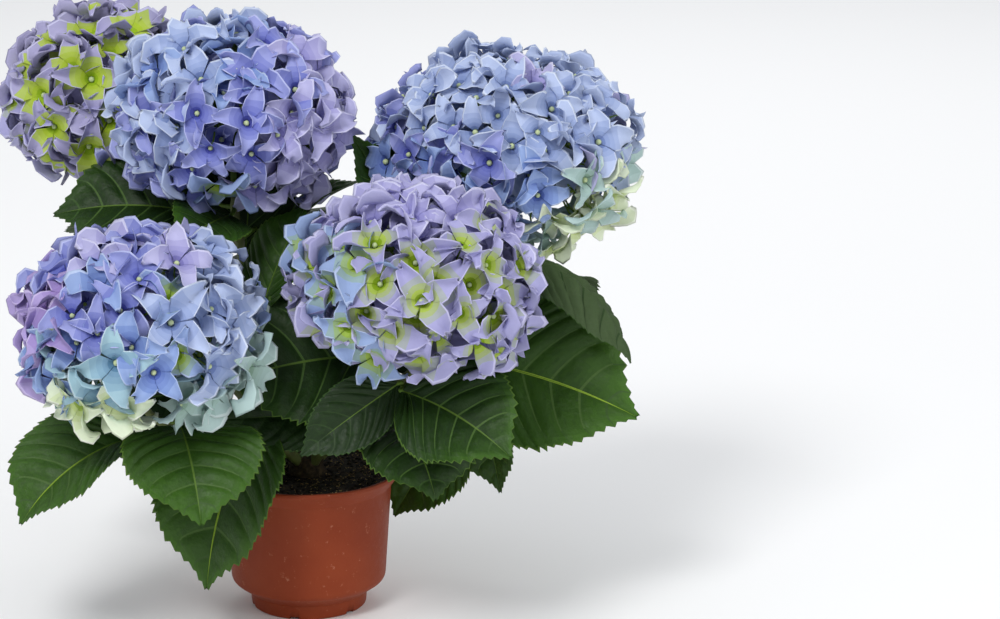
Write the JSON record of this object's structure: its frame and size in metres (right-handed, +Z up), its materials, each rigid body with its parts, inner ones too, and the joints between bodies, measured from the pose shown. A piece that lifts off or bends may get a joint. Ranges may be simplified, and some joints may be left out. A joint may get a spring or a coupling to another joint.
{
  "type": "potted hydrangea shrub",
  "caption": "Hydrangea shrub in a plastic nursery pot: green canes from a short stem, broad toothed leaves and rounded blue mophead blooms.",
  "frame": {"origin": "middle of the pot's flat underside, on the surface the pot stands on", "axes": "+Z up, -Y the front of the plant, +X its right side seen from the front"},
  "size_m": [0.4723, 0.4019, 0.4349],
  "materials": {
    "pot": "matt terracotta plastic with faint moulding marks and scuffs",
    "soil": "dark moist peat with pale specks",
    "stem": "brown, flaking, fissured bark",
    "cane": "smooth green bark with brown specks and leaf nodes",
    "bloom": "soft matt sepals, blue and lilac with green hearts",
    "leaf": "slightly glossy green leaf with paler veins"
  },
  "bodies": {
    "root": {"bloom_back_left": "bloom", "bloom_front_left": "bloom", "bloom_front_right": "bloom", "bloom_right": "bloom", "bloom_top": "bloom", "cane_back_left": "cane", "cane_front_left": "cane", "cane_front_right": "cane", "cane_right": "cane", "cane_top": "cane", "leaf_back_centre_high": "leaf", "leaf_back_high": "leaf", "leaf_back_left_high": "leaf", "leaf_back_left_inner": "leaf", "leaf_back_left_low": "leaf", "leaf_back_left_outer": "leaf", "leaf_back_left_upper": "leaf", "leaf_back_low": "leaf", "leaf_back_middle": "leaf", "leaf_back_right": "leaf", "leaf_back_right_high": "leaf", "leaf_back_right_low": "leaf", "leaf_back_right_side": "leaf", "leaf_behind_cane": "leaf", "leaf_behind_left": "leaf", "leaf_behind_right": "leaf", "leaf_behind_stem": "leaf", "leaf_behind_top": "leaf", "leaf_cane_shade": "leaf", "leaf_front_left_inner": "leaf", "leaf_front_shade": "leaf", "leaf_left_low": "leaf", "leaf_left_sliver": "leaf", "leaf_middle_front": "leaf", "leaf_middle_shade": "leaf", "leaf_pot_front_left": "leaf", "leaf_pot_left": "leaf", "leaf_right_drooping": "leaf", "leaf_right_hanging": "leaf", "leaf_right_large": "leaf", "leaf_right_side": "leaf", "leaf_rim_front_right": "leaf", "leaf_top_right": "leaf", "leaf_under_front_left": "leaf", "leaf_under_front_right": "leaf", "leaf_under_top": "leaf", "leaf_upper_left": "leaf", "leaf_upper_middle": "leaf", "leaf_upright_middle": "leaf", "pot": "pot", "potting_soil": "soil", "short_stem": "stem"}
  },
  "joints": []
}
